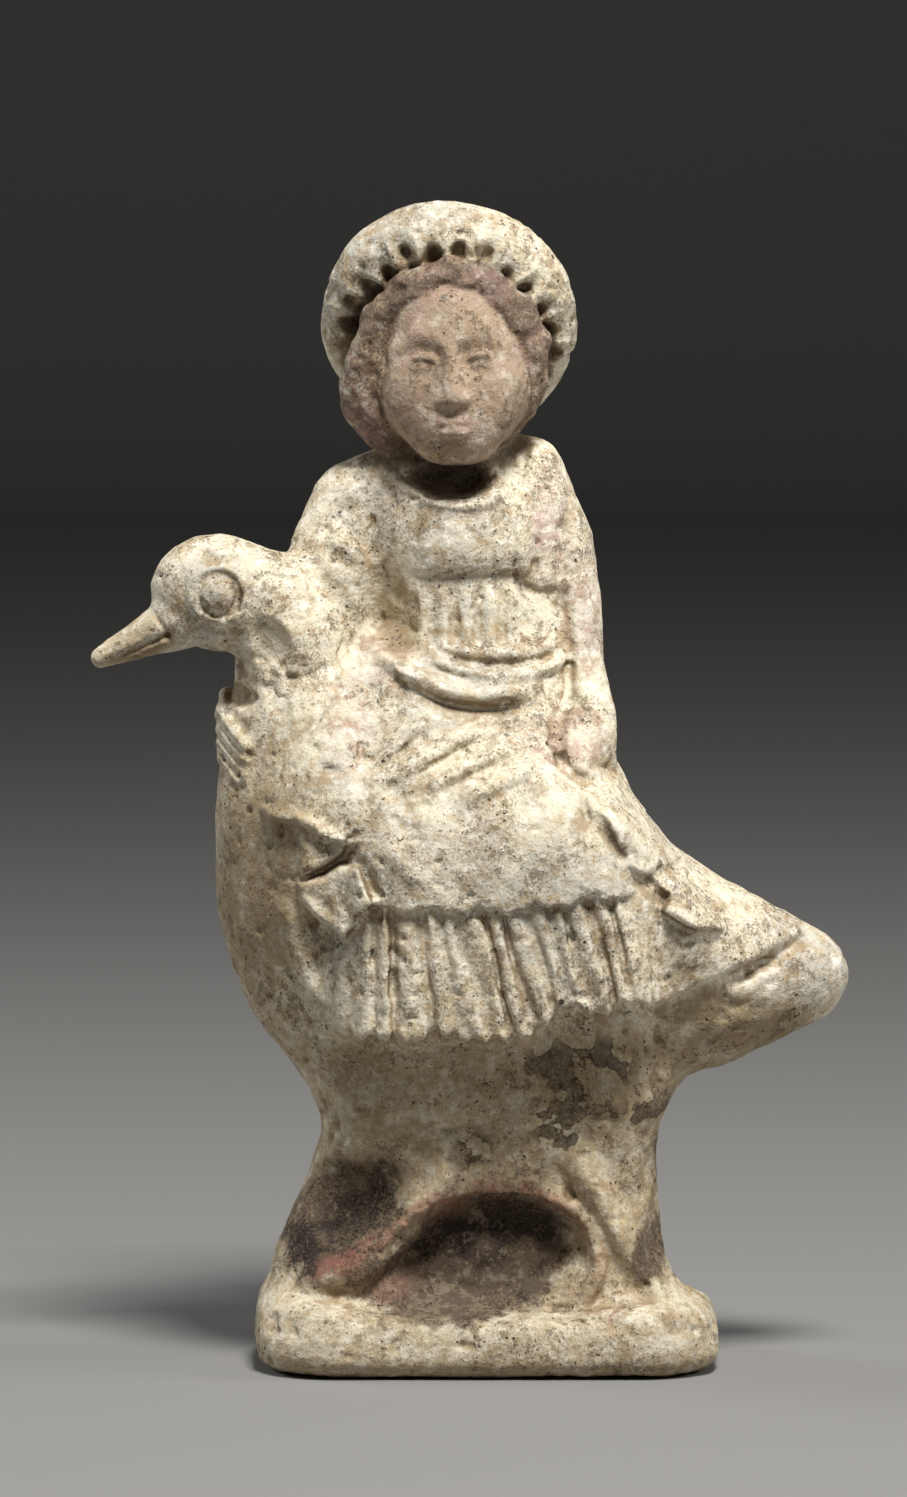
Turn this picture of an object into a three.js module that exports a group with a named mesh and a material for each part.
// Terracotta statuette of a woman riding side-saddle on a goose, about 158 mm tall.
// It was pressed in a mould and is one piece of clay: goose, rider and low base together.
// Millimetres, +Z up. The front, where the rider looks, faces -Y, and the goose looks to -X.
// The form is a field of distances, negative inside the clay. The masses are blended together
// first, and then the marks of the front mould are pushed into the side that faces -Y. A skin of
// small faces is laid over the field, and the faces that show least are taken out again.
import * as THREE from "three";

const { abs, atan2, cos, hypot, max, min, round, sin, sqrt, PI } = Math;
const { clamp, degToRad, smoothstep } = THREE.MathUtils;

// Driving dimensions.
const GRID_STEP = 0.85;
const MOST_TRIANGLES = 9600;
const CLAY = { color: 0xc9b697, roughness: 0.92, metalness: 0 };

// Heights above the table and places (x, y, z) that tie the parts of the figure together.
const BASE_TOP = 8;
const CLOAK_HEM = 64;
const LAP = 84;
const WAIST = 97;
const BELT = 108.5;
const SHOULDER = 123;
const HEAD = [-2.2, -1.5, 138];
const FACE = [-2.2, -1.5, 136.7];
const WREATH = [-2.9, 1.6, 142.2];
const GOOSE_HEAD = [-35, -3, 105.8];
const MIDDLE = 1;

/** Two distances joined by a fillet of about that radius. */
function blend(a, b, radius) {
  const overlap = max(radius - abs(a - b), 0) / radius;
  return min(a, b) - (overlap * overlap * radius) / 4;
}

/** The first form with the second taken out of it, the edge eased by a radius. */
const carve = (a, b, radius) => -blend(-a, b, radius);

/** An egg: three half-sizes, its right side dropped in the front view by lean, in degrees. */
function egg([cx, cy, cz], [rx, ry, rz], lean = 0) {
  const c = cos(degToRad(lean));
  const s = sin(degToRad(lean));
  return (x, y, z) => {
    const dx = x - cx;
    const dz = z - cz;
    const u = (dx * c - dz * s) / rx;
    const v = (y - cy) / ry;
    const w = (dx * s + dz * c) / rz;
    const k = hypot(u, v, w);
    return (k * (k - 1)) / max(hypot(u / rx, v / ry, w / rz), 1e-6);
  };
}

/** A limb of round cones through stations [x, y, z, radius], its depth in Y flat times its width. */
function limb(stations, flat = 1) {
  const cones = stations.slice(1).map((end, i) => {
    const [x, y, z, r] = stations[i];
    const d = [end[0] - x, (end[1] - y) / flat, end[2] - z];
    const length = hypot(...d);
    const narrowing = (r - end[3]) / length;
    const lean = narrowing / sqrt(1 - narrowing * narrowing);
    return { x, y, z, r, d: d.map((part) => part / length), length, narrowing, lean };
  });
  return (x, y, z) => {
    let nearest = Infinity;
    for (const cone of cones) {
      const p = x - cone.x;
      const q = (y - cone.y) / flat;
      const s = z - cone.z;
      const along = p * cone.d[0] + q * cone.d[1] + s * cone.d[2];
      const away = sqrt(max(p * p + q * q + s * s - along * along, 0));
      const place = clamp(along - away * cone.lean, 0, cone.length);
      nearest = min(nearest, hypot(along - place, away) - cone.r + place * cone.narrowing);
    }
    return nearest * min(flat, 1);
  };
}

/** A value that runs smoothly through [place, value] pairs. */
function profile(pairs) {
  const n = pairs.length - 1;
  const slope = pairs.map((_, i) => {
    const a = pairs[max(i - 1, 0)];
    const b = pairs[min(i + 1, n)];
    return (b[1] - a[1]) / (b[0] - a[0]);
  });
  return (place) => {
    if (place <= pairs[0][0]) return pairs[0][1];
    if (place >= pairs[n][0]) return pairs[n][1];
    let i = 0;
    while (place > pairs[i + 1][0]) i++;
    const span = pairs[i + 1][0] - pairs[i][0];
    const t = (place - pairs[i][0]) / span;
    const rise = pairs[i + 1][1] - pairs[i][1];
    const a = slope[i] * span;
    const b = slope[i + 1] * span;
    return pairs[i][1] + t * (a + t * (3 * rise - 2 * a - b + t * (a + b - 2 * rise)));
  };
}

/**
 * A block whose sides follow the levels [z, left, right, front, back].
 * Its floor and its roof are heights that may change along X.
 */
function pillar(levels, corner, edge, floor = levels[0][0], roof = levels.at(-1)[0]) {
  const side = (k) => profile(levels.map((level) => [level[0], level[k]]));
  const height = (end) => (typeof end === "number" ? () => end : end);
  const [left, right, front, back] = [side(1), side(2), side(3), side(4)];
  const [bottom, top] = [height(floor), height(roof)];
  return (x, y, z) => {
    const [l, r, f, b] = [left(z), right(z), front(z), back(z)];
    const round = min(corner, (r - l) / 2, (b - f) / 2);
    const qx = abs(x - (l + r) / 2) - (r - l) / 2 + round;
    const qy = abs(y - (f + b) / 2) - (b - f) / 2 + round;
    const plan = hypot(max(qx, 0), max(qy, 0)) + min(max(qx, qy), 0) - round;
    const rise = max(bottom(x) - z, z - top(x));
    const out = hypot(max(plan + edge, 0), max(rise + edge, 0));
    return min(max(plan, rise) + edge, 0) + out - edge;
  };
}

/** A form turned about a centre: roll drops its right side, turn swings its face to the right. */
function posed(form, [cx, cy, cz], roll, turn) {
  const [cr, sr] = [cos(degToRad(roll)), sin(degToRad(roll))];
  const [ct, st] = [cos(degToRad(turn)), sin(degToRad(turn))];
  return (x, y, z) => {
    const u = (x - cx) * cr - (z - cz) * sr;
    const w = (x - cx) * sr + (z - cz) * cr;
    return form(u * ct + (y - cy) * st, (y - cy) * ct - u * st, w);
  };
}

/** Forms joined in order, each given as [form, fillet radius]. */
function gather(list) {
  return (x, y, z) => {
    let gap = list[0][0](x, y, z);
    for (let i = 1; i < list.length; i++) gap = blend(gap, list[i][0](x, y, z), list[i][1]);
    return gap;
  };
}

/** The goose: a deep breast, a body that thins to the tail, a bent neck, head and bill. */
function gooseForm() {
  const [hx, hy, hz] = GOOSE_HEAD;
  const breast = egg([-10, MIDDLE, 68.4], [24.8, 18, 32.5]);
  const body = limb(
    [
      [-2, MIDDLE, 58, 20],
      [16, MIDDLE, 55, 17.6],
      [31, MIDDLE, 53.2, 13.2],
      [44.6, MIDDLE, 52.8, 6.9],
      [48, MIDDLE, 52.8, 3.8],
    ],
    0.86,
  );
  const neck = limb([
    [hx + 3, hy, hz - 0.6, 7],
    [-28, -3, 104.2, 7.4],
    [-24.7, -2.5, 99.6, 7.6],
    [-24.2, -1.5, 93.4, 7.6],
    [-23.6, -0.5, 86.6, 9.8],
    [-20, 0, 77, 13],
  ]);
  const head = egg(GOOSE_HEAD, [8.4, 6.8, 7.7], 8);
  const bill = limb(
    [
      [hx - 5.4, hy - 0.5, hz - 4.4, 3.7],
      [hx - 8, hy - 0.6, hz - 5.6, 2.9],
      [hx - 12.6, hy - 0.9, hz - 7.8, 1.9],
      [hx - 15.3, hy - 1.2, hz - 9.1, 1.3],
    ],
    1.15,
  );
  const eye = egg([hx + 0.8, hy - 6.1, hz - 0.1], [2.5, 2.3, 2.5]);
  const eyeRim = (x, y, z) =>
    hypot(hypot(x - hx - 0.8, z - hz + 0.1) - 3.3, y - hy + 6.4) - 0.6;
  const eyeGroove = (x, y, z) =>
    hypot(hypot(x - hx - 0.8, z - hz + 0.1) - 2.8, y - hy + 7.2) - 0.7;
  const plain = gather([
    [breast, 0],
    [body, 12],
    [neck, 4.5],
    [head, 2.5],
    [bill, 1.4],
    [eyeRim, 1],
  ]);
  return (x, y, z) => blend(carve(plain(x, y, z), eyeGroove(x, y, z), 0.5), eye(x, y, z), 0.2);
}

/** The block of clay that carries the goose, waisted, and the low base under it. */
function standForm() {
  const stem = pillar(
    [
      [4, -28, 30, -14, 14],
      [10, -27.4, 28.4, -12.6, 12.8],
      [14.5, -26.8, 26.8, -11.8, 12],
      [21, -24.4, 25.8, -11, 11.4],
      [27, -21.7, 25.5, -10.6, 11.4],
      [32, -20.4, 25.8, -11.4, 12],
      [37, -20.6, 27, -12.4, 12.8],
      [48, -20, 25, -12, 12],
    ],
    9,
    0.5,
  );
  const rim = profile([
    [-28, 10.6],
    [-19, 9.4],
    [-10, BASE_TOP],
    [14, BASE_TOP + 0.1],
    [22, 9.6],
    [34, 8.4],
  ]);
  const base = pillar(
    [
      [0, -28.4, 33.2, -18.4, 17.8],
      [3, -29.1, 34, -19, 18.4],
      [7, -28.8, 33.2, -18.4, 17.6],
      [11, -27.6, 31, -16.8, 16.2],
    ],
    11,
    2,
    0,
    rim,
  );
  return { stem, base };
}

/** The worn lower edge of the pleated skirt: its height along X. */
const hem = profile([
  [-19.4, 52],
  [-18.2, 48.4],
  [-15.5, 46.4],
  [-11.8, 46.9],
  [-7.9, 46],
  [-4.8, 47.4],
  [-1, 46.5],
  [3.9, 46.4],
  [7.1, 46.8],
  [9.8, 48.5],
  [13.3, 50.9],
  [17.8, 49.8],
  [20.5, 51.2],
  [25.7, 50.4],
  [31, 52.7],
  [36.6, 55.1],
  [42, 57.4],
]);

/** The hem with the rounded end of each pleat. */
const ragged = (x) => hem(x) + 0.3 * sin(2.25 * x) + 0.15 * sin(5.3 * x);

/** The rider's body and clothes, without her head. */
function riderForm() {
  const skirt = pillar(
    [
      [44, -18.6, 27, -21.3, 6],
      [56, -17.8, 26, -21.9, 6],
      [CLOAK_HEM, -18.4, 24.6, -22.1, 6],
      [74, -19.4, 22, -21.8, 6],
      [80, -19.6, 19.6, -20, 6],
      [LAP + 2, -18, 16.8, -15.8, 6],
      [WAIST - 4, -15, 13, -11, 6],
      [WAIST + 2, -12, 11, -7.5, 6],
    ],
    11,
    0.7,
    ragged,
  );
  const torso = egg([-2, 3.5, 107], [13.6, 9.6, 22]);
  const chest = egg([-1.6, -0.6, 114], [11.5, 7.6, 9]);
  const belly = egg([0.4, -1.5, 100], [10, 6.4, 9]);
  const back = egg([0, 7.5, 96.5], [16.6, 9, 31], -3);
  const throat = limb([
    [-2.4, 3, 118.4, 6.4],
    [-2.4, 2.5, 128.4, 5.6],
  ]);
  const farArm = limb([
    [-9.6, 4, 119.6, 6.2],
    [-15.6, 3.5, 117.2, 6.2],
    [-18.4, 2.5, 111, 6.2],
    [-20, 1.5, 102, 6],
  ]);
  const foreArm = limb([
    [-17.6, 1, 108, 5.6],
    [-19.6, 0, 101, 6],
    [-24.6, 0, 94, 6.2],
  ]);
  const nearArm = limb([
    [7, 4, 120.6, 6.2],
    [10.8, 3.2, 112, 6],
    [12, 1.6, 103.6, 5.8],
    [12.9, -1.4, 95.4, 5.3],
    [14.9, -4.6, 88.6, 4.9],
    [15.4, -6, 86.2, 4.6],
  ]);
  const trail = limb([
    [9, 6, 95, 7],
    [13, 6.5, 80, 7],
    [18, 5, 69, 7],
  ]);
  const leftDrop = egg([-20, -3.5, 75], [8.5, 13.6, 18], 12);
  const rightDrop = limb(
    [
      [13, -3, 77.6, 7.4],
      [22, -3, 66, 7.4],
      [28, -2, 59.6, 7],
    ],
    1.7,
  );
  return {
    skirt, torso, chest, belly, back, throat, farArm, foreArm, nearArm, trail, leftDrop, rightDrop,
  };
}

/**
 * A calm woman's face in its own frame, the eyes at height 0. Brow, nose and chin stand at thirds
 * of the face.
 */
function faceForm() {
  const third = 7.6;
  const brow = 2;
  const noseBase = brow - third;
  const chinEnd = noseBase - third;
  const mouth = noseBase - third / 3;
  const pair = (make) => [make(-1), make(1)];
  const skull = egg([0, 1.5, 3.2], [9.9, 11.6, 13.2]);
  const jaw = egg([0, -1.4, noseBase + 1.2], [9.2, 8.8, 8.4]);
  const muzzle = egg([0, -5.4, mouth + 0.9], [4.6, 4.5, 4.2]);
  const chin = egg([0, -6.2, chinEnd + 3.1], [4.6, 3.2, 3]);
  const cheeks = pair((s) => egg([s * 4.9, -5.2, noseBase + 1.4], [4, 3.5, 4.8]));
  const nose = limb([
    [0, -9.7, brow + 0.2, 1.1],
    [0, -10.6, brow - 3, 1.1],
    [0, -11.4, noseBase + 1.4, 1.35],
  ]);
  const nostrils = pair((s) => egg([s * 1.4, -10.4, noseBase + 1], [1, 1.2, 0.9]));
  const brows = pair((s) =>
    limb([
      [s * 1.6, -9, brow + 1.7, 0.5],
      [s * 4, -8.5, brow + 2.4, 0.6],
      [s * 7.4, -6, brow + 0.2, 0.6],
    ]),
  );
  const sockets = pair((s) => egg([s * 4, -11.3, 0.7], [2.8, 2, 1.9], s * 14));
  const eyeballs = pair((s) => egg([s * 3.8, -7.9, -0.1], [2.5, 2, 1.6], s * 5));
  const lids = pair((s) =>
    limb([
      [s * 1.3, -9.2, 0, 0.3],
      [s * 2.9, -9.7, 1.3, 0.55],
      [s * 4.7, -9.3, 1.25, 0.55],
      [s * 6.5, -7.8, -0.2, 0.3],
    ]),
  );
  const lip = (rise, wide, deep, r) =>
    limb([
      [-wide, -8.9, mouth + 0.35, r * 0.4],
      [0, -deep, mouth + rise, r],
      [wide, -8.9, mouth + 0.35, r * 0.4],
    ]);
  const bare = gather([
    [skull, 0],
    [jaw, 4],
    [muzzle, 2.5],
    [chin, 3],
    [cheeks[0], 3],
    [cheeks[1], 3],
    [nose, 1.5],
    [nostrils[0], 0.8],
    [nostrils[1], 0.8],
    [brows[0], 2.2],
    [brows[1], 2.2],
  ]);
  const socketed = (x, y, z) =>
    carve(carve(bare(x, y, z), sockets[0](x, y, z), 1.6), sockets[1](x, y, z), 1.6);
  return gather([
    [socketed, 0],
    [eyeballs[0], 0.3],
    [eyeballs[1], 0.3],
    [lids[0], 0.3],
    [lids[1], 0.3],
    [lip(0.7, 2.9, 10.4, 0.8), 0.3],
    [lip(-0.8, 2.4, 10.3, 0.9), 0.3],
  ]);
}

/** Hair in soft locks round the face, in a frame that sits a little higher than the face's. */
function hairForm() {
  const cap = egg([0, 4, 2.2], [11.6, 10, 11.6]);
  const nape = egg([0, 5.4, -6], [8.6, 7.6, 9]);
  const overBrow = limb([
    [-9.6, -2.5, 5.2, 2.4],
    [-5.6, -5.8, 9.6, 1.9],
    [0, -7, 11.6, 1.7],
    [4.8, -6, 9.8, 1.9],
    [8.6, -3.4, 5.4, 2.4],
  ]);
  const leftSide = limb([
    [-9.6, -2.5, 5.2, 2.6],
    [-11.6, -1.6, -0.6, 3.4],
    [-12.2, -1, -6, 3.5],
    [-9.6, 0, -10, 2.9],
  ]);
  const rightSide = limb([
    [8.6, -3.4, 5.4, 2.6],
    [10.4, -2, 1, 2.9],
    [9.4, -1.2, -4.6, 2.9],
    [6.4, 0, -9.6, 2.7],
  ]);
  const form = gather([
    [cap, 0],
    [nape, 4],
    [overBrow, 1.5],
    [leftSide, 1.5],
    [rightSide, 1.5],
  ]);
  const lock = 3.2;
  return (x, y, z) => {
    const along = hypot(x, z - 2);
    const turn = atan2(x, z - 2);
    const wave = cos((2 * PI * along) / lock + 1.5 * sin(turn * 9)) + 0.5 * cos(turn * 15);
    return form(x, y, z) + 0.16 * wave * (1 - smoothstep(y, 0, 8));
  };
}

/** The thick wreath: a ring that leans forward over the brow, hollowed along its lower front. */
function wreathForm() {
  const [cx, cy, cz] = WREATH;
  const [c, s] = [cos(degToRad(64)), sin(degToRad(64))];
  const [cr, sr] = [cos(degToRad(8)), sin(degToRad(8))];
  const knobs = 23;
  return (x, y, z) => {
    const u = (x - cx) * cr - (z - cz) * sr;
    const h = (x - cx) * sr + (z - cz) * cr;
    const v = (y - cy) * c - h * s;
    const w = (y - cy) * s + h * c;
    const turn = atan2(u, -v);
    const side = smoothstep(abs(turn), 0.85, 1.65);
    const out = hypot(u, v) - 13 - 1.6 * side;
    const thick = 4.8 - 2 * side;
    const section = atan2(-w, -out);
    const number = round((turn * knobs) / (2 * PI));
    const along = ((turn * knobs) / (2 * PI) - number) * 3.6;
    const across = (section - 1.2 - 0.35 * cos(turn) - 0.25 * sin(number * 2.3)) * thick;
    const reach = 1.5 + 0.4 * sin(number * 4.1);
    const hole = 1 - smoothstep(hypot(along, across * 0.8), 0.2, reach);
    const lump = (1 - smoothstep(abs(across), 1, 3.6)) * cos((PI * along) / 1.8);
    const front = 1 - smoothstep(abs(turn), 1.5, 2.1);
    const deep = 1.4 + 0.6 * sin(number * 5.7);
    return hypot(out, w) - thick + front * (deep * hole + 0.5 * lump);
  };
}

/** Her far hand, laid over the front of the goose's neck with four fingers showing. */
function handForm() {
  const fingers = [0, 1, 2, 3].map((i) =>
    limb([
      [-33.3, 1.6, 91.2 - 1.95 * i, 1.15],
      [-33.9 + 0.15 * i, -3, 88.8 - 1.95 * i, 1.15],
      [-30.6 + 0.1 * i, -8.4, 84.8 - 1.8 * i, 0.9],
    ]),
  );
  const palm = egg([-30.2, 0.6, 86], [3.2, 5, 5.6]);
  return gather([[palm, 0], ...fingers.map((finger) => [finger, 0.3])]);
}

/** The clay as a whole, smooth, before the mould's marks. */
function massForm() {
  const goose = gooseForm();
  const { stem, base } = standForm();
  const rider = riderForm();
  const face = posed(faceForm(), FACE, -3, -2);
  const hair = posed(hairForm(), HEAD, -3, -2);
  const wreath = wreathForm();
  const lower = gather([
    [goose, 0],
    [stem, 6],
    [base, 3],
    [handForm(), 0.9],
  ]);
  const clothed = gather([
    [rider.torso, 0],
    [rider.chest, 3],
    [rider.belly, 4],
    [rider.back, 6],
    [rider.throat, 3.5],
    [rider.farArm, 2.6],
    [rider.foreArm, 3],
    [rider.nearArm, 2],
    [rider.trail, 5],
  ]);
  const worn = gather([
    [lower, 0],
    [clothed, 2.6],
    [rider.leftDrop, 4],
    [rider.rightDrop, 4],
    [rider.skirt, 3],
  ]);
  const head = gather([
    [face, 0],
    [hair, 1.2],
    [wreath, 0.6],
  ]);
  return (x, y, z) =>
    z > SHOULDER - 6 ? blend(worn(x, y, z), head(x, y, z), 1.2) : worn(x, y, z);
}

/** A soft ridge, or with a negative height a groove, along a smooth line in the front view. */
function ridge(points, halfWidth, height, taper = 0.25) {
  const curve = new THREE.SplineCurve(points.map(([x, z]) => new THREE.Vector2(x, z)));
  const line = curve.getPoints(6 * (points.length - 1));
  const last = line.length - 1;
  const reach = halfWidth * 1.05;
  const low = [min(...line.map((p) => p.x)) - reach, min(...line.map((p) => p.y)) - reach];
  const high = [max(...line.map((p) => p.x)) + reach, max(...line.map((p) => p.y)) + reach];
  return (x, z) => {
    if (x < low[0] || x > high[0] || z < low[1] || z > high[1]) return 0;
    let best = Infinity;
    let place = 0;
    for (let i = 0; i < last; i++) {
      const [dx, dz] = [line[i + 1].x - line[i].x, line[i + 1].y - line[i].y];
      const t = clamp(
        ((x - line[i].x) * dx + (z - line[i].y) * dz) / (dx * dx + dz * dz),
        0,
        1,
      );
      const away = hypot(x - line[i].x - t * dx, z - line[i].y - t * dz);
      if (away < best) {
        best = away;
        place = (i + t) / last;
      }
    }
    const across = clamp(1 - (best / halfWidth) ** 2, 0, 1);
    const ends = smoothstep(place, 0, taper) * (1 - smoothstep(place, 1 - taper, 1));
    return height * across * across * (taper > 0 ? ends : 1);
  };
}

/** A flap of cloth that stands proud of what is under it, by its corners in the front view. */
function flap(corners, height, edge) {
  const n = corners.length;
  return (x, z) => {
    let away = Infinity;
    let inside = false;
    for (let i = 0, j = n - 1; i < n; j = i++) {
      const [ax, az] = corners[j];
      const [bx, bz] = corners[i];
      const [dx, dz] = [bx - ax, bz - az];
      const t = clamp(((x - ax) * dx + (z - az) * dz) / (dx * dx + dz * dz), 0, 1);
      away = min(away, hypot(x - ax - t * dx, z - az - t * dz));
      if (az > z !== bz > z && x < ax + ((z - az) * dx) / dz) inside = !inside;
    }
    return height * smoothstep(inside ? away : -away, -edge, edge);
  };
}

/** A hollow in the front view, long along its lean, its sides steep or soft. */
function bowl([cx, cz], [rx, rz], lean, depth, soft = 1) {
  const [c, s] = [cos(degToRad(lean)), sin(degToRad(lean))];
  return (x, z) => {
    const u = ((x - cx) * c + (z - cz) * s) / rx;
    const w = ((z - cz) * c - (x - cx) * s) / rz;
    return -depth * smoothstep(1 - u * u - w * w, 0, soft);
  };
}

/** The cloth over her lap and legs: hem of the cloak, pleats under it, rolls and folds. */
function drapery() {
  const hemAt = (x) => CLOAK_HEM + 0.35 * sin(x * 0.9) + 1.6 * smoothstep(x, 2, 22);
  const inSkirt = (x) => smoothstep(x, -17, -14.5) * (1 - smoothstep(x, 19, 24));
  const cloakHem = (x, z) => {
    const above = smoothstep(z - hemAt(x), -0.4, 0.4) * (1 - smoothstep(z, 70, 84));
    return 1.3 * above * inSkirt(x);
  };
  const pleatWidth = 2.8;
  const pleats = (x, z) => {
    const fan = x + 0.27 * smoothstep(x, -14, 6) * (z - CLOAK_HEM) - 0.4 * sin(x * 0.8);
    const groove = (0.5 - 0.5 * cos((2 * PI * fan) / pleatWidth)) ** 2;
    const deep = 0.75 + 0.3 * sin(fan * 1.7);
    const wide = smoothstep(x, -19.5, -17) * (1 - smoothstep(x, 20, 26));
    const under = 1 - smoothstep(z - hemAt(x), -0.8, 0.4);
    const over = smoothstep(z - hem(x), -2, 0);
    return (0.5 - 1.15 * groove * deep) * wide * under * over;
  };
  const lapFolds = [
    [[[-10.9, 81], [-5.3, 86], [4, 88]], 1.1],
    [[[-10, 76.5], [-2, 83.4], [5, 85.4]], 1],
    [[[-8, 74], [0, 78.6], [8, 82]], 0.9],
    [[[1, 72], [8, 76.6], [13, 80.5]], 0.8],
    [[[-12.6, 74], [-9, 70], [-5, 67.4]], 0.6],
  ].map(([points, height]) => ridge(points, 2.2, height, 0.35));
  const waistRolls = [
    [[[-13.7, 99.4], [-10.4, 96.6], [-6, 94.2], [-1.6, 92.8], [3, 92.4], [10.4, 93]], 2.2, 2.4],
    [[[-6, 97.4], [-1.6, 95.7], [3, 94.8], [9, 95.3], [14.3, 97.4]], 1.5, 1.7],
    [[[-4.6, 99], [-1, 98], [3.4, 97.6], [8.6, 98], [13.4, 99.6]], 1.6, 1.3],
    [[[-7.6, 92.6], [-1.8, 90.6], [3, 90.2], [9.6, 90.8]], 1.3, -0.6],
  ].map(([points, halfWidth, height]) => ridge(points, halfWidth, height, 0.2));
  return [cloakHem, pleats, ...lapFolds, ...waistRolls];
}

/** A flap of cloth with a rolled edge: a ridge just inside a line and a groove outside it. */
function lipped(corners, height, edgeLine, lip, groove) {
  const shifted = (rise) => edgeLine.map(([x, z]) => [x, z + rise]);
  return [
    flap(corners, height, 0.45),
    ridge(shifted(0.9), 1.2, lip, 0.2),
    ridge(shifted(-0.9), 1.3, -groove, 0.3),
  ];
}

/** The hanging ends of the cloak, folded in zigzags at each side of her lap. */
function cascades() {
  const kneeEnd = [[-28.1, 76.7], [-26.7, 75.4], [-23.4, 75.1], [-22.1, 74.8], [-19.8, 73.4],
    [-17.1, 73.1], [-15.5, 74.4]];
  const kneeCorners = [[-12, 91], [-18.1, 91.5], [-24.6, 83.9], [-27.4, 78.9], ...kneeEnd,
    [-12, 76]];
  const [kneeCloth, ...kneeEdge] = lipped(kneeCorners, 1.6, kneeEnd, 0.9, 0.4);
  return [
    (x, z) => kneeCloth(x, z) * (1 - smoothstep(x, -18, -13)),
    ...kneeEdge,
    ...lipped([[-22.4, 74.3], [-15.1, 73.2], [-17.8, 71.1], [-19.8, 69.6], [-22.7, 68.3],
      [-23.1, 71.5]], 1.1, [[-23, 68.1], [-19.8, 69.4], [-17.8, 70.9], [-15, 73]], 0.4, 0.4),
    ...lipped([[-23.1, 67], [-22.7, 64.7], [-21.1, 62.7], [-18.4, 60.7], [-16.8, 59.7],
      [-15.5, 61.7], [-13.2, 65], [-14.3, 67.5], [-15.1, 69.6], [-17.8, 69.6], [-19.8, 68.3]],
      1.6, [[-23.1, 65], [-21.3, 62.7], [-18.4, 60.6], [-16.2, 59.5]], 0.6, 0.5),
    ridge([[-15.1, 71.6], [-13.5, 68.3], [-12.5, 65.3]], 1.4, -0.9, 0.3),
    ridge([[-25.7, 66], [-24.5, 61], [-22.5, 54.5], [-19.8, 49]], 2, 1, 0.25),
    ridge([[15, 81], [19.6, 76.4], [24, 72.4], [27, 70.2]], 3, 1.9, 0.2),
    ...lipped([[17.6, 77], [20.6, 71.6], [22, 69.3], [24, 68], [26.6, 68.6], [29, 70.2],
      [28, 72.6], [23, 77]], 0.9, [[21, 69.7], [23.9, 68], [29.2, 70.2]], 0.7, 0.4),
    ...lipped([[24.3, 68], [29.2, 68.8], [30, 67], [27, 65.2]], 1,
      [[24.2, 67], [27, 65.3], [30, 67]], 0.4, 0.4),
    ...lipped([[26.8, 65], [29.9, 66.8], [32.6, 63.6], [34.2, 60.4], [30.4, 60.8],
      [26, 63.4]], 1.8, [[26, 63.3], [30.2, 60.7], [34.4, 60.2]], 0.6, 0.5),
  ];
}

/** The marks on her chest and arms: belt, strip of cloak, neckline, sleeve and covered hand. */
function bodice() {
  const beltAt = (x) => BELT + 0.3 * cos((x - 1) * 0.25);
  const overBelt = (x, z) => {
    const wide = smoothstep(x, -9, -5) * (1 - smoothstep(x, 7, 9));
    return 1.1 * wide * smoothstep(z - beltAt(x), -0.6, 0.6) * (1 - smoothstep(z, 110, 116));
  };
  const foldWidth = 3.2;
  const underBelt = (x, z) => {
    const wide = smoothstep(x, -8, -5) * (1 - smoothstep(x, 7, 9));
    const tall = smoothstep(z, WAIST - 1, WAIST + 2) * (1 - smoothstep(z, BELT - 3, BELT - 1.5));
    return 0.45 * wide * tall * cos((2 * PI * (x + 0.6)) / foldWidth);
  };
  return [
    overBelt,
    underBelt,
    flap([[8.6, 126.4], [11.8, 124.6], [13.4, 119], [12.4, 113], [11.4, 106.4], [9.4, 106],
      [6.6, 107.6], [6, 116]], 0.9, 0.5),
    ridge([[13.8, 120.8], [12.8, 114.6], [11.6, 107]], 1.2, -1.2, 0.2),
    ridge([[11.7, 107.4], [12.9, 99.6], [13.7, 92.5], [11.6, 86], [12.2, 81.4]], 1.8, -1.2, 0.15),
    ridge([[11.6, 84], [14, 81.2], [17.4, 80.6], [20.2, 83.4]], 1.5, -1.5, 0.2),
    bowl([16.4, 87.6], [4.8, 6.2], 10, -2),
    ridge([[-20, 112], [-17.6, 110.6], [-15, 108.8]], 1, -0.9, 0.25),
    ridge([[-18.4, 112.6], [-15.6, 111.2], [-13.8, 109.4]], 1.1, 0.6, 0.3),
    bowl([-9.6, 104.8], [4.2, 7.6], 10, 2.1),
    bowl([-2.4, 122.8], [6.2, 5.4], 0, 4.6, 0.5),
    ridge([[-13, 124], [-8.3, 119.6], [-3, 117.6], [2.6, 118], [6.4, 121.4]], 1, 0.6, 0.2),
  ];
}

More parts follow.
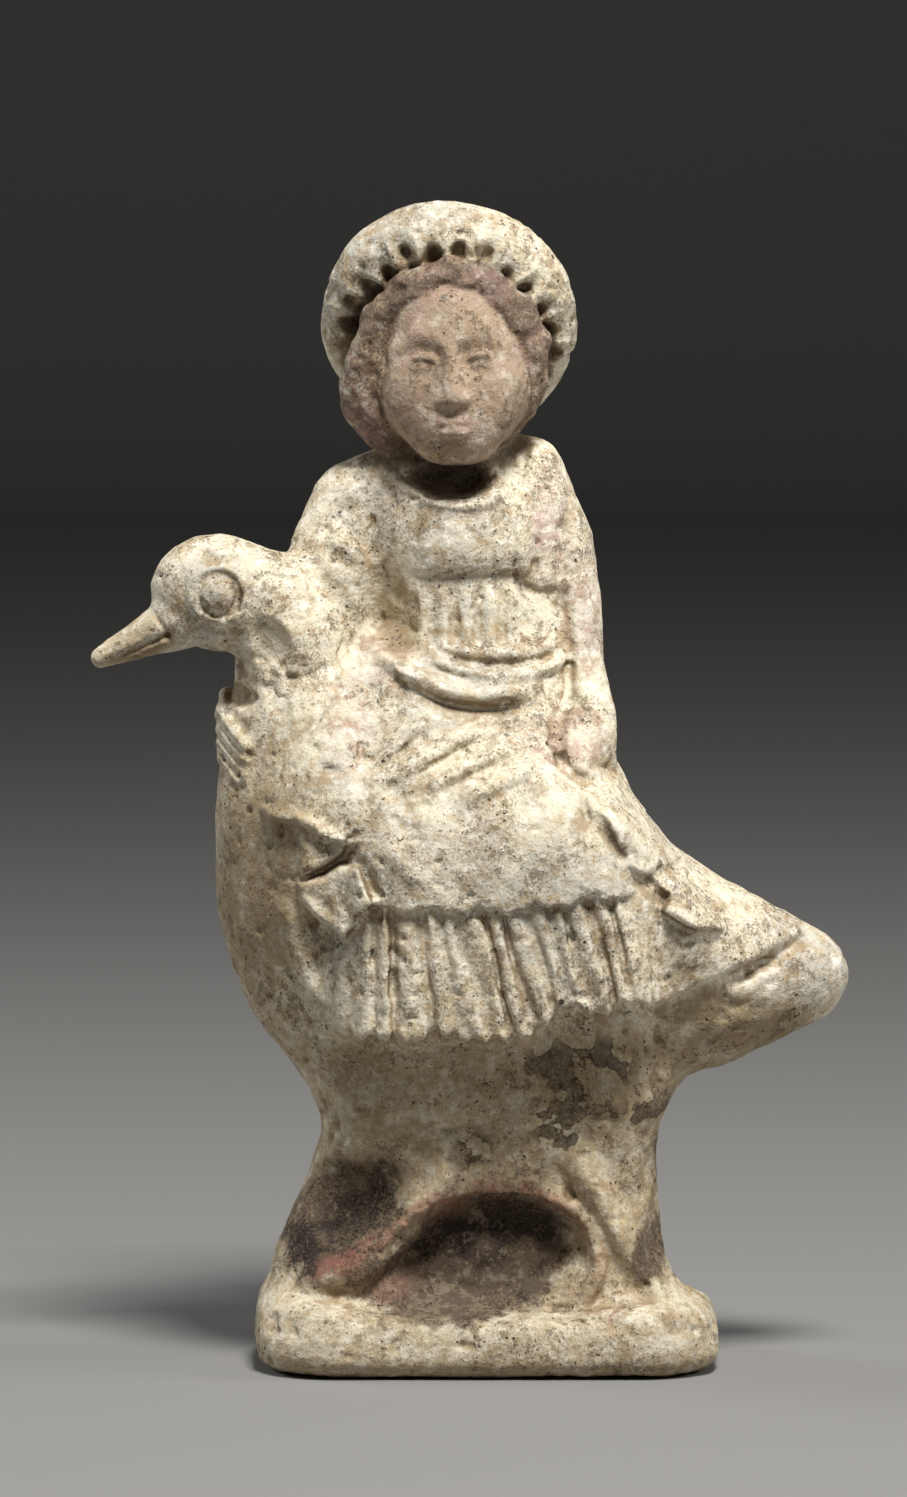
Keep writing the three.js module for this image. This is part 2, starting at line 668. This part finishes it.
/** The marks on the goose: wing edge, tail groove, creases of the neck, line of the bill. */
function plumage() {
  const wing = (x, z) => {
    const along = smoothstep(x, 17, 23) * (1 - smoothstep(x, 37, 42));
    return 1.5 * along * smoothstep(z - hem(x), -0.7, 0.7);
  };
  const underBody = (x, z) => {
    const along = smoothstep(x, -19.5, -17) * (1 - smoothstep(x, 26, 32));
    return -1.2 * along * (1 - smoothstep(z - ragged(x), -1.6, 0)) * smoothstep(z, 36, 44);
  };
  return [
    wing,
    underBody,
    ridge([[34, 53.4], [38.6, 54.6], [43, 56.6], [46.4, 58.4]], 1.9, -1.8, 0.25),
    ridge([[-23, 109], [-18.6, 105.4], [-16, 100.6], [-16.8, 96.4], [-18.6, 93]], 1.8, -1.2, 0.2),
    ridge([[-26, 93.6], [-22.6, 94.4], [-19, 96]], 1.3, -0.55, 0.3),
    ridge([[-29.6, 98], [-27, 95], [-26.6, 91.4]], 0.8, -0.8, 0.3),
    bowl([-27.6, 98.6], [2.4, 4], 30, 1),
    ridge([[-40.4, 100.4], [-44, 98.8], [-48.4, 96.6]], 0.6, -0.9, 0.15),
    bowl([-30.6, 91], [1.7, 2.2], -20, 2.8),
  ];
}

/** The marks on the block under the goose: two legs that end in spread toes, hollows between. */
function legs() {
  return [
    bowl([-15.8, 24.2], [9, 6.6], 35, 3),
    bowl([2, 15.8], [16, 8.8], 4, 4.4, 0.75),
    bowl([25.2, 19.4], [2.2, 7], -14, 1.5),
    ridge([[-2.6, 30.5], [-5.4, 24], [-9.6, 18.8], [-16.2, 14.4], [-23.4, 11.4]], 2.7, 2.2, 0.2),
    ridge([[-3.4, 20.4], [-8.4, 17.2], [-13.4, 13.6], [-18.6, 10.4]], 1.9, 1.5, 0.25),
    ridge([[14.6, 31], [18, 23.6], [22, 16.4], [26, 11.4], [30.4, 7.2]], 3, 2.2, 0.2),
    ridge([[20, 16.4], [17.6, 11.4], [14, 7.2]], 1.7, 1.8, 0.25),
  ];
}

/** All marks summed: how far the clay stands towards the viewer at a place in the front view. */
function reliefForm() {
  const marks = [...drapery(), ...cascades(), ...bodice(), ...plumage(), ...legs()];
  return (x, z) => {
    let height = 0;
    for (const mark of marks) height += mark(x, z);
    return height;
  };
}

/** Values of the field on a grid; a block of cells far from the skin takes its middle's value. */
function sampled(mass, relief, low, counts, step) {
  const [nx, ny, nz] = counts;
  const block = 6;
  const near = block * step + 3;
  const values = new Float32Array(nx * ny * nz);
  const place = (i, n) => low[n] + i * step;
  for (let k0 = 0; k0 < nz; k0 += block)
    for (let i0 = 0; i0 < nx; i0 += block) {
      const [k1, i1] = [min(k0 + block, nz), min(i0 + block, nx)];
      let heights = null;
      for (let j0 = 0; j0 < ny; j0 += block) {
        const j1 = min(j0 + block, ny);
        const centre = [(i0 + i1) / 2, (j0 + j1) / 2, (k0 + k1) / 2].map(place);
        const middle = mass(...centre);
        const close = abs(middle) < near;
        if (close && !heights) {
          heights = [];
          for (let k = k0; k < k1; k++)
            for (let i = i0; i < i1; i++) heights.push(relief(place(i, 0), place(k, 2)));
        }
        for (let k = k0, column = 0; k < k1; k++)
          for (let i = i0; i < i1; i++, column++)
            for (let j = j0; j < j1; j++) {
              const y = place(j, 1);
              const lift = close ? heights[column] * (1 - smoothstep(y, -5, 3)) : 0;
              values[(k * ny + j) * nx + i] = close
                ? mass(place(i, 0), y + lift, place(k, 2))
                : middle;
            }
      }
    }
  return values;
}

/** Fills the few places where two parts of the skin would touch along an edge or at a point. */
function untouched(values, [nx, ny, nz]) {
  const steps = [1, nx, nx * ny];
  const fill = (a, b) => (values[a] < values[b] ? (values[a] = -1e-4) : (values[b] = -1e-4));
  let changed = true;
  while (changed) {
    changed = false;
    for (let k = 0; k < nz - 1; k++)
      for (let j = 0; j < ny - 1; j++)
        for (let i = 0; i < nx - 1; i++) {
          const here = (k * ny + j) * nx + i;
          const inside = values[here] < 0;
          for (let n = 0; n < 3; n++) {
            const [b, c] = [here + steps[n], here + steps[(n + 1) % 3]];
            const across = c + steps[n];
            if (values[across] < 0 !== inside) continue;
            if (values[b] < 0 === inside || values[c] < 0 === inside) continue;
            if (inside) fill(b, c);
            else fill(here, across);
            changed = true;
          }
        }
  }
}

/** The skin of a field: one vertex in each cell that it crosses, four round each crossed edge. */
function skin(mass, relief, low, high, step) {
  const counts = high.map((h, n) => Math.ceil((h - low[n]) / step) + 1);
  const [nx, ny, nz] = counts;
  const values = sampled(mass, relief, low, counts, step);
  untouched(values, counts);
  const at = (i, j, k) => (k * ny + j) * nx + i;
  const corners = [0, 1, 2, 3, 4, 5, 6, 7].map((c) => [c & 1, (c >> 1) & 1, c >> 2]);
  const cornerAt = corners.map(([i, j, k]) => at(i, j, k));
  const edges = [];
  for (let a = 0; a < 8; a++)
    for (const bit of [1, 2, 4]) if (!(a & bit)) edges.push([a, a | bit]);
  const vertexOf = new Int32Array(nx * ny * nz).fill(-1);
  const vertices = [];
  for (let k = 0; k < nz - 1; k++)
    for (let j = 0; j < ny - 1; j++)
      for (let i = 0; i < nx - 1; i++) {
        const here = at(i, j, k);
        let inside = 0;
        for (const offset of cornerAt) if (values[here + offset] < 0) inside++;
        if (inside === 0 || inside === 8) continue;
        const sum = [0, 0, 0];
        let crossed = 0;
        for (const [a, b] of edges) {
          const [va, vb] = [values[here + cornerAt[a]], values[here + cornerAt[b]]];
          if (va < 0 === vb < 0) continue;
          const t = va / (va - vb);
          for (const n of [0, 1, 2]) sum[n] += corners[a][n] + t * (corners[b][n] - corners[a][n]);
          crossed++;
        }
        vertexOf[here] = vertices.length;
        vertices.push([i, j, k].map((cell, n) => low[n] + step * (cell + sum[n] / crossed)));
      }
  const faces = [];
  const offsets = [at(1, 0, 0), at(0, 1, 0), at(0, 0, 1)];
  for (let k = 1; k < nz - 1; k++)
    for (let j = 1; j < ny - 1; j++)
      for (let i = 1; i < nx - 1; i++) {
        const here = at(i, j, k);
        for (const n of [0, 1, 2]) {
          if (values[here] < 0 === values[here + offsets[n]] < 0) continue;
          const [b, c] = [offsets[(n + 1) % 3], offsets[(n + 2) % 3]];
          const quad = [here, here - b, here - b - c, here - c].map((cell) => vertexOf[cell]);
          if (values[here] >= 0) quad.reverse();
          faces.push([quad[0], quad[1], quad[2]], [quad[0], quad[2], quad[3]]);
        }
      }
  return { vertices, faces };
}

/** The middle, normal and area of a triangle given by three corners. */
function plane([a, b, c]) {
  const u = [0, 1, 2].map((n) => b[n] - a[n]);
  const v = [0, 1, 2].map((n) => c[n] - a[n]);
  const cross = [u[1] * v[2] - u[2] * v[1], u[2] * v[0] - u[0] * v[2], u[0] * v[1] - u[1] * v[0]];
  const double = hypot(...cross);
  return { normal: cross.map((part) => part / (double || 1)), area: double / 2, widest: hypot(...u) };
}

/**
 * Thins a closed skin to a number of triangles. Each step drops the edge whose loss moves the
 * surface least. An edge stays if its loss would pinch the skin or turn a triangle over.
 */
function thinned({ vertices, faces }, most) {
  const count = vertices.length;
  const error = new Float64Array(count * 10);
  const around = vertices.map(() => new Set());
  const alive = faces.map(() => true);
  const stamp = new Int32Array(count);
  const gone = new Uint8Array(count);
  const terms = (normal, point, weight, into, start) => {
    const d = -(normal[0] * point[0] + normal[1] * point[1] + normal[2] * point[2]);
    const p = [...normal, d];
    for (let i = 0, slot = start; i < 4; i++)
      for (let j = i; j < 4; j++, slot++) into[slot] += weight * p[i] * p[j];
  };
  faces.forEach((face, id) => {
    const { normal, area } = plane(face.map((v) => vertices[v]));
    for (const v of face) {
      around[v].add(id);
      terms(normal, vertices[face[0]], area, error, v * 10);
    }
  });
  const price = (a, b) => {
    const q = [];
    for (let i = 0; i < 10; i++) q.push(error[a * 10 + i] + error[b * 10 + i]);
    const middle = [0, 1, 2].map((n) => (vertices[a][n] + vertices[b][n]) / 2);
    const soft = 1e-3 * (q[0] + q[4] + q[7]) + 1e-9;
    const [xx, xy, xz, yy, yz, zz] = [q[0] + soft, q[1], q[2], q[4] + soft, q[5], q[7] + soft];
    const r = [q[3], q[6], q[8]].map((part, n) => soft * middle[n] - part);
    const c = [yy * zz - yz * yz, xz * yz - xy * zz, xy * yz - xz * yy];
    const det = xx * c[0] + xy * c[1] + xz * c[2];
    const d = [xx * zz - xz * xz, xy * xz - xx * yz, xx * yy - xy * xy];
    const to = [
      (c[0] * r[0] + c[1] * r[1] + c[2] * r[2]) / det,
      (c[1] * r[0] + d[0] * r[1] + d[1] * r[2]) / det,
      (c[2] * r[0] + d[1] * r[1] + d[2] * r[2]) / det,
    ];
    const [x, y, z] = to;
    const cost =
      q[0] * x * x + q[4] * y * y + q[7] * z * z + q[9] +
      2 * (q[1] * x * y + q[2] * x * z + q[5] * y * z + q[3] * x + q[6] * y + q[8] * z);
    const length = hypot(...[0, 1, 2].map((n) => vertices[a][n] - vertices[b][n]));
    return { cost: max(cost, 0) + 1e-5 * length * length, to };
  };
  const heap = [];
  const push = (item) => {
    let i = heap.push(item) - 1;
    while (i > 0) {
      const parent = (i - 1) >> 1;
      if (heap[parent].cost <= item.cost) break;
      heap[i] = heap[parent];
      i = parent;
    }
    heap[i] = item;
  };
  const pop = () => {
    const first = heap[0];
    const item = heap.pop();
    let i = 0;
    while (heap.length > 0) {
      let child = 2 * i + 1;
      if (child >= heap.length) break;
      if (child + 1 < heap.length && heap[child + 1].cost < heap[child].cost) child++;
      if (heap[child].cost >= item.cost) break;
      heap[i] = heap[child];
      i = child;
    }
    if (heap.length > 0) heap[i] = item;
    return first;
  };
  const offer = (a, b) => push({ ...price(a, b), a, b, stamps: stamp[a] + stamp[b] });
  const ringOf = (v) => {
    const ring = new Set();
    for (const id of around[v]) for (const w of faces[id]) if (w !== v) ring.add(w);
    return ring;
  };
  const turns = (v, other, to) => {
    for (const id of around[v]) {
      if (faces[id].includes(other)) continue;
      const before = plane(faces[id].map((w) => vertices[w]));
      const after = plane(faces[id].map((w) => (w === v ? to : vertices[w])));
      const same = before.normal.reduce((sum, part, n) => sum + part * after.normal[n], 0);
      if (same < 0.35 || after.area < 0.02 * after.widest ** 2) return true;
    }
    return false;
  };
  for (const [a, b, c] of faces) {
    if (a < b) offer(a, b);
    if (b < c) offer(b, c);
    if (c < a) offer(c, a);
  }
  let left = faces.length;
  while (left > most && heap.length > 0) {
    const { a, b, to, stamps } = pop();
    if (gone[a] || gone[b] || stamps !== stamp[a] + stamp[b]) continue;
    const [ringA, ringB] = [ringOf(a), ringOf(b)];
    let shared = 0;
    for (const v of ringA) if (ringB.has(v)) shared++;
    if (shared !== 2 || turns(a, b, to) || turns(b, a, to)) continue;
    vertices[a] = to;
    for (let i = 0; i < 10; i++) error[a * 10 + i] += error[b * 10 + i];
    for (const id of around[b]) {
      if (faces[id].includes(a)) {
        alive[id] = false;
        left--;
        for (const v of faces[id]) if (v !== b) around[v].delete(id);
      } else {
        faces[id][faces[id].indexOf(b)] = a;
        around[a].add(id);
      }
    }
    gone[b] = 1;
    stamp[a]++;
    for (const v of ringOf(a)) offer(a, v);
  }
  const kept = faces.filter((_, id) => alive[id]);
  const name = new Map();
  for (const face of kept) for (const v of face) if (!name.has(v)) name.set(v, name.size);
  return {
    vertices: [...name.keys()].map((v) => vertices[v]),
    faces: kept.map((face) => face.map((v) => name.get(v))),
  };
}

/** The statuette as one closed mesh, centred on the table. */
function statuette() {
  const whole = skin(massForm(), reliefForm(), [-56, -28, -2], [56, 24, 163], GRID_STEP);
  const { vertices, faces } = thinned(whole, MOST_TRIANGLES);
  const geometry = new THREE.BufferGeometry();
  geometry.setAttribute("position", new THREE.Float32BufferAttribute(vertices.flat(), 3));
  geometry.setIndex(faces.flat());
  geometry.computeBoundingBox();
  const middle = geometry.boundingBox.getCenter(new THREE.Vector3());
  geometry.translate(-middle.x, -middle.y, -geometry.boundingBox.min.z);
  geometry.computeVertexNormals();
  return geometry;
}

const clay = new THREE.MeshStandardMaterial({ ...CLAY, flatShading: true });
const figure = new THREE.Mesh(statuette(), clay);
figure.name = "statuette";
const part = new THREE.Group();
part.name = "terracotta statuette";
part.add(figure);
export default part;
